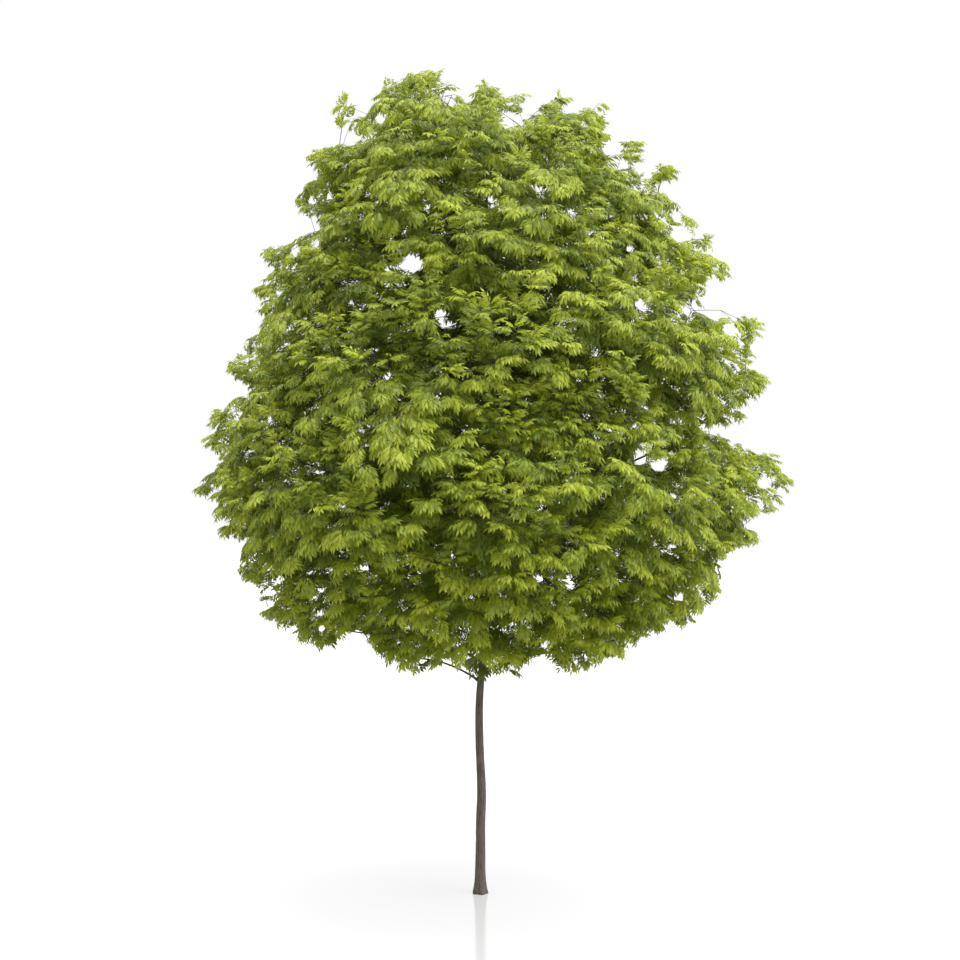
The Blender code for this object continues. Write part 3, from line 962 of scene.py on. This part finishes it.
def leafShape(pairs, rise, fall, seed):
    # one compound leaf, 1 long, along +Y with its face up: points, triangles
    rng = random.Random(seed)
    points, triangles = [], []
    for corner in range(3):
        turn = 2 * pi * corner / 3 + pi / 2
        points.append(leaf["stalkRadius"] * np.array((cos(turn), 0.0, sin(turn))))
        triangles.append((corner, 3, (corner + 1) % 3))
    points.append(curveAt(rise, fall, leaf["stalkEnd"]))

    def addLeaflet(base, ahead, normal, length, width, bend):
        side = np.cross(ahead, normal)
        first = len(points)
        widest, bent = leaf["bladeWidest"]
        middle = base + ahead * (widest * length) - normal * (bent * bend * length)
        points.append(base)
        points.append(middle - side * (0.5 * width))
        points.append(middle + side * (0.5 * width))
        points.append(base + ahead * length - normal * (bend * length))
        triangles.append((first, first + 2, first + 1))
        triangles.append((first + 1, first + 2, first + 3))

    firstPair, pairsReach = leaf["pairsAt"]
    for k in range(pairs):
        s = firstPair + pairsReach * k / (pairs - 1)
        low, high = curveAt(rise, fall, s - 0.02), curveAt(rise, fall, s + 0.02)
        forward = (high - low) / np.linalg.norm(high - low)
        across = np.array((1.0, 0.0, 0.0))
        level = np.cross(across, forward)
        size = leaf["blades"] * (0.86 + 0.14 * sin(pi * (k + 0.8) / pairs))
        for hand in (-1, 1):
            angle = radians(rng.uniform(*leaf["bladeAngles"])) * (1 - 0.16 * k / pairs)
            tilt = radians(rng.uniform(*leaf["bladeTilts"]))
            sideways = across * (hand * cos(tilt)) - level * sin(tilt)
            ahead = forward * cos(angle) + sideways * sin(angle)
            normal = level * cos(tilt) + across * (hand * sin(tilt))
            normal = normal - ahead * normal.dot(ahead)
            normal /= np.linalg.norm(normal)
            length = size * rng.uniform(*leaf["bladeLengths"])
            width = leaf["bladeWidth"] * rng.uniform(*leaf["bladeWidths"])
            bend = rng.uniform(*leaf["bladeBends"])
            base = curveAt(rise, fall, s + 0.012 * hand)
            addLeaflet(base, ahead, normal, length, width, bend)
    end = curveAt(rise, fall, leaf["stalkEnd"])
    forward = curveAt(rise, fall, 0.92) - end
    forward /= np.linalg.norm(forward)
    level = np.cross(np.array((1.0, 0.0, 0.0)), forward)
    bend = leaf["bladeBends"][0]
    addLeaflet(end, forward, level, leaf["blades"], leaf["bladeWidth"] * 1.06, bend)
    return np.array(points), np.array(triangles)


leafShapes = [leafShape(5, *bend) for bend in leaf["bends"]]
innerShapes = [leafShape(4, *bend) for bend in leaf["innerBends"]]


def pathThrough(points, steps):
    # a smooth line through a few points
    out = []
    for k in range(steps + 1):
        place = min(k / steps * (len(points) - 1), len(points) - 1 - 1e-6)
        i = int(place)
        t = place - i
        a = points[max(i - 1, 0)]
        b, c = points[i], points[i + 1]
        d = points[min(i + 2, len(points) - 1)]
        out.append(
            0.5 * ((2 * b) + (c - a) * t + (2 * a - 5 * b + 4 * c - d) * t**2
                   + (3 * b - a - 3 * c + d) * t**3)
        )
    return out


growing = {"tubes": [], "lines": [], "leaves": [], "tufts": [], "leftOut": 0}


def addTube(path, firstRadius, lastRadius, sides):
    count = len(path) - 1
    radii = [firstRadius + (lastRadius - firstRadius) * k / count for k in range(count + 1)]
    growing["tubes"].append(limbShape(path, radii, sides))


def shownAt(points):
    # where each point shows on the trunk's plane from the front: sideways, up
    eye = np.array(crown["gapsOpenTo"])
    away = points - eye
    onPlane = eye + away * (-eye[1] / away[:, 1])[:, None]
    return onPlane[:, 0], onPlane[:, 2]


def fits(points, slack):
    # whether each point lies in the crown and, from the front, within its edges
    sideways, height = shownAt(points)
    azimuth = np.arctan2(points[:, 1], points[:, 0])
    furthest = crownReach(points[:, 2], azimuth) * crown["slack"] + seen["slack"]
    good = np.hypot(points[:, 0], points[:, 1]) <= furthest
    good &= sideways >= -np.interp(height, *edges["left"]) - slack
    good &= sideways <= np.interp(height, *edges["right"]) + slack
    good &= height <= np.interp(sideways, *edges["top"]) + slack
    good &= height >= np.interp(sideways, *edges["foot"]) - slack
    return good


def inGaps(points):
    # whether each point shows in front of the sky where the crown is open
    sideways, height = shownAt(points)
    hides = np.zeros(len(points), bool)
    for across, middle, radius in seen["gaps"]:
        hides |= np.hypot(sideways - across, height - middle) < radius
    return hides


def outwardAt(point):
    outward = Vector((point.x, point.y, 0.0))
    return outward.normalized() if outward.length > 0.2 else Vector((0.0, 0.0, 0.0))


def addTuft(point, way, count, tint, home, rng, slack):
    # leaves to either hand along the end of a shoot, in a fan that hangs outwards
    outward = outwardAt(point)
    axis = way * shoots["ahead"] + up * shoots["lift"] + outward * shoots["outward"]
    axis.normalize()
    first = rng.randrange(2)
    side = levelSide(axis)
    front = axis.cross(side)
    inner = skinDepth(point) > leaf["innerFrom"]
    placed = []
    for k in range(count):
        around = (k + first) * pi + vary(rng, 1) * leaf["spread"]
        share = ((k + rng.uniform(0.0, leaf["shareVaries"])) / count) ** leaf["crowding"]
        angle = blend(*leaf["angles"], share)
        radial = side * cos(around) + front * (sin(around) * leaf["flat"])
        ahead = (axis * cos(angle) + radial * sin(angle)).normalized()
        out = ahead.dot(outward)
        if out < leaf["inwards"] and rng.random() < leaf["inwardsDropped"]:
            continue
        base = point - way * (leaf["nodeStep"] * k)
        droop = blend(*leaf["droop"], max(0.0, out)) + vary(rng, leaf["droopVaries"])
        ahead = (ahead - up * droop).normalized()
        face = up + outward * leaf["outward"]
        face = face - ahead * face.dot(ahead)
        if face.length < 0.15:
            face = side - ahead * side.dot(ahead)
        face.normalize()
        roll = vary(rng, leaf["roll"])
        face = face * cos(roll) + ahead.cross(face) * sin(roll)
        shape, triangles = rng.choice(innerShapes if inner else leafShapes)
        length = rng.uniform(*leaf["length"]) * blend(leaf["tipSize"], 1, min(1.0, 2 * share))
        length *= leaf["innerSize"] if inner else 1.0
        turn = np.array([tuple(ahead.cross(face)), tuple(ahead), tuple(face)])
        own = tint - (k < leaf["young"]) + (k > leaf["old"] * count)
        own = min(max(own, 0), len(leafFinishes) - 1)
        placed.append((shape @ turn * length + np.array(base), triangles, own, home, k))
    if not placed:
        return None
    points = np.concatenate([item[0] for item in placed])
    ends = np.cumsum([len(item[0]) for item in placed])[:-1]
    inside, hiding = np.split(fits(points, slack), ends), np.split(inGaps(points), ends)
    kept = [
        item for item, good, hides in zip(placed, inside, hiding)
        if good.all() and hides.mean() < leaf["inGap"]
    ]
    growing["leftOut"] += len(placed) - len(kept)
    if len(kept) < leaf["fewest"]:
        return None
    growing["leaves"] += kept
    growing["tufts"].append((point.x, point.y, point.z))
    return point - way * (leaf["nodeStep"] * kept[0][4])


def onSpray(root, ahead, size, along, across):
    # a point on the arched kite that a spray fills
    face, side = sprayFrame(root, ahead)
    length, half = sprays["length"] * size, 0.5 * sprays["width"] * size
    crest = sprays["crest"]
    if along < crest:
        wide = along / crest
        lift = sprays["arch"] * wide
    else:
        wide = (1 - along) / (1 - crest)
        lift = sprays["arch"] - (sprays["arch"] + sprays["drop"]) * (1 - wide)
    lift -= sprays["sag"] * abs(across) * wide
    return root + ahead * (along * length) + side * (across * half * wide) + face * (lift * length)


def skinDepth(point):
    # how far inside the crown's skin a point lies, sideways or upwards
    away = hypot(point.x, point.y)
    sideways = crownReach(point.z, atan2(point.y, point.x)) - away
    return min(sideways, crownTop - point.z + crown["topFades"] * away)


# painted shade: the deeper a point lies under the crown's skin, the darker its tint, with a random
# spread around it
def pickTintAndShade(point, rng):
    depth = max(0.0, skinDepth(point))
    share = depth / shadeTinting["deepest"] + shadeTinting["paler"] + vary(rng, shadeTinting["varies"])
    share = min(0.999, max(0.0, share))
    return int(share * len(leafFinishes))


def growSpray(spray, home, rng):
    # the shoots and tufts of one spray, and whether any of them has room
    root, ahead, size = spray
    spots = shoots["tufts"][size]
    steps = shoots["steps"]
    main = [onSpray(root, ahead, size, spots[0][0] * k / steps, 0.0) for k in range(steps + 1)]
    slack = seen["slack"]
    bearing = 0.0
    for along, across, count in spots:
        path = main
        if across:
            along += vary(rng, shoots["alongVaries"])
            point = onSpray(root, ahead, size, along, across)
            foot = onSpray(root, ahead, size, max(0.0, along - shoots["back"]), 0.0)
            path = [foot, foot.lerp(point, 0.5) + up * shoots["knee"], point]
        carried = main[: 1 + int(steps * min(1.0, along / spots[0][0]))] + path
        if not fits(np.array(carried), slack).all():
            continue
        way = (path[-1] - path[-2]).normalized()
        tint = pickTintAndShade(path[-1], rng)
        end = addTuft(path[-1], way, count, tint, home, rng, slack)
        if end:
            bearing = max(bearing, along - shoots["back"] if across else along)
            if across:
                thickest = shoots["tipRadius"] * shoots["sideThicker"]
                addTube(path[:-1] + [end], thickest, shoots["tipRadius"], 3)
    if bearing > shoots["shortest"]:
        main = [onSpray(root, ahead, size, bearing * k / steps, 0.0) for k in range(steps + 1)]
        addTube(main, shoots["radius"], shoots["tipRadius"], 3)
        growing["lines"].append((home, main))
    return bearing > 0.0


def growTwig(root, tip, feet, home, rng):
    # one twig, as far as the last spray it still bears
    way = tip - root
    bearing = 0.0
    for foot in feet:
        share = (foot - root).dot(way) / way.dot(way)
        if (root + way * share - foot).length < limbs["twigBears"]:
            bearing = max(bearing, min(share, 1.0))
    if bearing < limbs["twigShortest"]:
        return
    tip = root + way * bearing
    bend = Vector((vary(rng, 1), vary(rng, 1), rng.uniform(-1.2, 0.4)))
    middle = root.lerp(tip, 0.5) + bend * limbs["twigBend"] * (tip - root).length
    path = pathThrough([root, middle, tip], limbs["twigSteps"])
    addTube(path, *limbs["twig"])
    growing["lines"].append((home, path))


def growFoliage():
    for number, mass in enumerate(grownMasses):
        rng = random.Random(shoots["seed"] + number)
        stem = mass["stem"]
        back = (stem[0] - stem[1]).normalized() * limbs["stemSunk"]
        path = pathThrough([stem[0] + back, *stem[1:]], limbs["stemSteps"])
        addTube(path, *limbs["stem"])
        growing["lines"].append((number, path[limbs["stemBare"] :]))
        feet = [spray[0] for spray in mass["sprays"] if growSpray(spray, number, rng)]
        for root, tip in mass["twigs"]:
            growTwig(root, tip, feet, number, rng)


finer = {
    "tries": 20000,
    "seed": 8600,
    "apart": (0.142, 0.33),  # between tufts, at the skin and deep inside
    "tipsApart": 0.085,
    "rimApart": 0.12,
    "deepest": 2.4,
    "shortOfSkin": 0.12,
    "carried": (0.10, 0.74),  # how far from the twig that carries it
    "fromBelow": 0.15,  # how much nearer a limb further down counts
    "leaves": (6, 7),
    "steps": 4,
    "halfWay": 0.30,  # longer twigs than this bear a tuft half way too
    "nodesEvery": 0.12,
    "knee": (0.55, 0.10),  # how far along a twig, and its rise as a share of the length
    "thinner": 0.8,
    "spotVaries": 0.03,
    "depthVaries": 0.1,
    "thinning": 1.5,  # over 1 the tufts stay close for longer under the skin
}


def limbNodes():
    # points along every stem, twig and shoot, with the mass each belongs to
    nodes, homes = [], []
    for home, line in growing["lines"]:
        for low, high in zip(line, line[1:]):
            pieces = max(1, round((high - low).length / finer["nodesEvery"]))
            for k in range(pieces + 1):
                nodes.append(tuple(low.lerp(high, k / pieces)))
                homes.append(home)
    return np.array(nodes), homes


def edgeSpot(name, place, reach):
    return {"left": (-reach, place), "right": (reach, place), "top": (place, reach)}[name]


def edgeSpots(rng):
    # just inside each spray that stands out, then further in along the whole edge
    tips, rim = [], []
    for name in ("left", "right", "top"):
        line = list(zip(*edges[name]))
        tips += [edgeSpot(name, place, reach - seen["tipInset"]) for place, reach in line[::2]]
        for inset in seen["rimInsets"]:
            rim += [edgeSpot(name, place, reach - inset) for place, reach in line]
    eye = crown["gapsOpenTo"]
    points = []
    aside, deeper = finer["spotVaries"], finer["depthVaries"]
    for spots, depths, apart, slack in (
        (tips, seen["tipDepths"], finer["tipsApart"], seen["tipSlack"]),
        (rim, seen["rimDepths"], finer["rimApart"], seen["slack"]),
    ):
        for depth in depths:
            for x, z in spots:
                aim = Vector((x + vary(rng, aside), 0.0, z + vary(rng, aside)))
                share = 1 + (depth + vary(rng, deeper)) / -eye.y
                points.append((eye + (aim - eye) * share, apart, slack))
    return points


def carryTuft(point, nodes, homes, rng, slack):
    # a finer twig from the best placed limb near by
    gone = np.array(point) - nodes
    far = np.linalg.norm(gone, axis=1)
    rise = gone[:, 2] / np.maximum(far, 1e-6)
    near, furthest = finer["carried"]
    cost = np.where((far > near) & (far < furthest), far - finer["fromBelow"] * rise, inf)
    best = int(cost.argmin())
    if cost[best] == inf:
        return
    foot = Vector(nodes[best])
    place, rise = finer["knee"]
    knee = foot.lerp(point, place) + up * (rise * (point - foot).length)
    path = pathThrough([foot, knee, point], finer["steps"])
    carried = np.array(path[1:-1])
    if inGaps(carried).any() or not fits(carried, seen["slack"]).all():
        return
    way = (path[-1] - path[-2]).normalized()
    count = rng.choice(finer["leaves"])
    end = addTuft(point, way, count, pickTintAndShade(point, rng), homes[best], rng, slack)
    if not end:
        return
    if (point - foot).length > finer["halfWay"]:
        half = finer["steps"] // 2
        middle = path[half]
        way = (middle - path[half - 1]).normalized()
        addTuft(middle, way, count, pickTintAndShade(middle, rng), homes[best], rng, seen["slack"])
    addTube(path[:-1] + [end], shoots["radius"] * finer["thinner"], shoots["tipRadius"], 3)


def growFiner():
    # finer twigs into the room that the sprays leave, each with a tuft at its tip
    rng = random.Random(finer["seed"])
    nodes, homes = limbNodes()
    reach = max(max(row[1:]) for row in crown["outline"])
    points = edgeSpots(rng)
    for _ in range(finer["tries"]):
        point = Vector((vary(rng, reach), vary(rng, reach), rng.uniform(crownFoot, crownTop)))
        depth = skinDepth(point)
        if finer["shortOfSkin"] < depth < finer["deepest"]:
            apart = blend(*finer["apart"], (depth / finer["deepest"]) ** finer["thinning"])
            points.append((point, apart, seen["slack"]))
    for point, apart, slack in points:
        tufts = np.array(growing["tufts"])
        if (np.linalg.norm(tufts - np.array(point), axis=1) > apart).all():
            carryTuft(point, nodes, homes, rng, slack)


growFoliage()
plain = len(growing["tufts"])
growFiner()
print("finer tufts:", len(growing["tufts"]) - plain)
print("shoots:", len(growing["tubes"]), "tufts:", len(growing["tufts"]))
print("leaves:", len(growing["leaves"]), "left out:", growing["leftOut"])


def joinedMesh(name, points, faceSizes, corners, slots, finishes):
    mesh = bpy.data.meshes.new(name)
    mesh.vertices.add(len(points))
    mesh.loops.add(len(corners))
    mesh.polygons.add(len(faceSizes))
    for items, field, kind, values in (
        (mesh.vertices, "co", np.float32, points),
        (mesh.loops, "vertex_index", np.int32, corners),
        (mesh.polygons, "loop_start", np.int32, np.cumsum(faceSizes) - faceSizes),
        (mesh.polygons, "material_index", np.int32, slots),
        (mesh.polygons, "use_smooth", bool, np.ones(len(faceSizes))),
    ):
        items.foreach_set(field, np.asarray(values, kind).ravel())
    for finish in finishes:
        mesh.materials.append(finish)
    mesh.update(calc_edges=True)
    mesh.validate()
    made = bpy.data.objects.new(name, mesh)
    bpy.context.scene.collection.objects.link(made)
    return made


def makeTwigs():
    points, sizes, corners = [], [], []
    for vertices, faces in growing["tubes"]:
        first = len(points)
        points += [tuple(v) for v in vertices]
        for face in faces:
            sizes.append(len(face))
            corners += [first + corner for corner in face]
    return joinedMesh("twigs", points, sizes, corners, np.zeros(len(sizes)), [twigFinish])


def makeLeaves():
    pieces = 7
    bearing = len(grownMasses) - 1
    groups = [min(pieces - 1, number * pieces // bearing) for number in range(bearing + 1)]
    made = []
    for piece in range(pieces):
        mine = [item for item in growing["leaves"] if groups[item[3]] == piece]
        firsts = np.cumsum([0] + [len(item[0]) for item in mine[:-1]])
        triangles = np.concatenate([item[1] + first for item, first in zip(mine, firsts)])
        whole = joinedMesh(
            f"leaves_{piece + 1}",
            np.concatenate([item[0] for item in mine]),
            np.full(len(triangles), 3),
            triangles.ravel(),
            np.concatenate([np.full(len(item[1]), item[2]) for item in mine]),
            leafFinishes,
        )
        made.append(whole)
        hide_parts(*[f"foliage_{n + 1:02d}" for n, g in enumerate(groups) if g == piece])
        print(" ", whole.name, len(triangles), "triangles")
    return made


twigPiece = makeTwigs()
leafPieces = makeLeaves()


# Floor, light and camera

studio = {
    "floorSize": 160.0,
    "floorColour": (0.17, 0.17, 0.17, 1.0),
    "floorGlow": 0.508,  # so that the shade on it stays as pale as the rest
    "floorGloss": 0.12,
    "world": 1.24,
    # each light's tilt, turn and softness in degrees, then its power
    "suns": ((6.0, 60.0, 72.0, 4.9), (58.0, 68.0, 60.0, 3.1)),
    "lens": {"lens": 60.0, "sensor_width": 36.0, "clip_end": 200.0},
}


def makeStudio():
    bpy.ops.object.select_all(action="DESELECT")
    bpy.ops.mesh.primitive_plane_add(size=studio["floorSize"])
    floor = bpy.context.object
    floor.name = "floor"
    made, tree = newMaterial("floorWhite")
    shader = addNode(tree, "ShaderNodeBsdfPrincipled", {}, {
        "Base Color": studio["floorColour"],
        "Roughness": studio["floorGloss"],
        "Specular IOR Level": 0.2,
        "Emission Color": (1.0, 1.0, 1.0, 1.0),
        "Emission Strength": studio["floorGlow"],
    })
    addNode(tree, "ShaderNodeOutputMaterial", feeds={"Surface": shader.outputs["BSDF"]})
    floor.data.materials.append(made)
    for number, (tilt, turn, softness, power) in enumerate(studio["suns"]):
        bpy.ops.object.light_add(
            type="SUN",
            location=(4.0 + 4.0 * number, -9.0, 14.0),
            rotation=(radians(tilt), 0.0, radians(turn)),
        )
        sun = bpy.context.object
        sun.name = f"softSun_{number + 1}"
        sun.data.angle = radians(softness)
        sun.data.energy = power
    world = bpy.data.worlds.new("studio")
    world.use_nodes = True
    tree = world.node_tree
    light = tree.nodes["Background"]
    light.inputs["Color"].default_value = (1.0, 1.0, 1.0, 1.0)
    light.inputs["Strength"].default_value = studio["world"]
    shown = addNode(tree, "ShaderNodeBackground", {}, {"Color": (1.0, 1.0, 1.0, 1.0)})
    mixed = addNode(tree, "ShaderNodeMixShader", feeds={
        "Fac": addNode(tree, "ShaderNodeLightPath").outputs["Is Camera Ray"],
        1: light.outputs["Background"],
        2: shown.outputs["Background"],
    })
    tree.links.new(mixed.outputs["Shader"], tree.nodes["World Output"].inputs["Surface"])
    bpy.context.scene.world = world
    bpy.ops.object.camera_add(location=crown["gapsOpenTo"], rotation=(pi / 2, 0.0, 0.0))
    camera = bpy.context.object
    for setting, value in studio["lens"].items():
        setattr(camera.data, setting, value)
    bpy.context.scene.camera = camera
    bpy.context.scene.view_settings.view_transform = "Standard"


makeStudio()


# What each piece rides on and stands for

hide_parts("trunk")
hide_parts(*[f"bough_{n + 1:02d}" for n in range(boughs["count"])])
for piece in (trunkBark, boughBark, twigPiece, *leafPieces):
    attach(piece, "root")
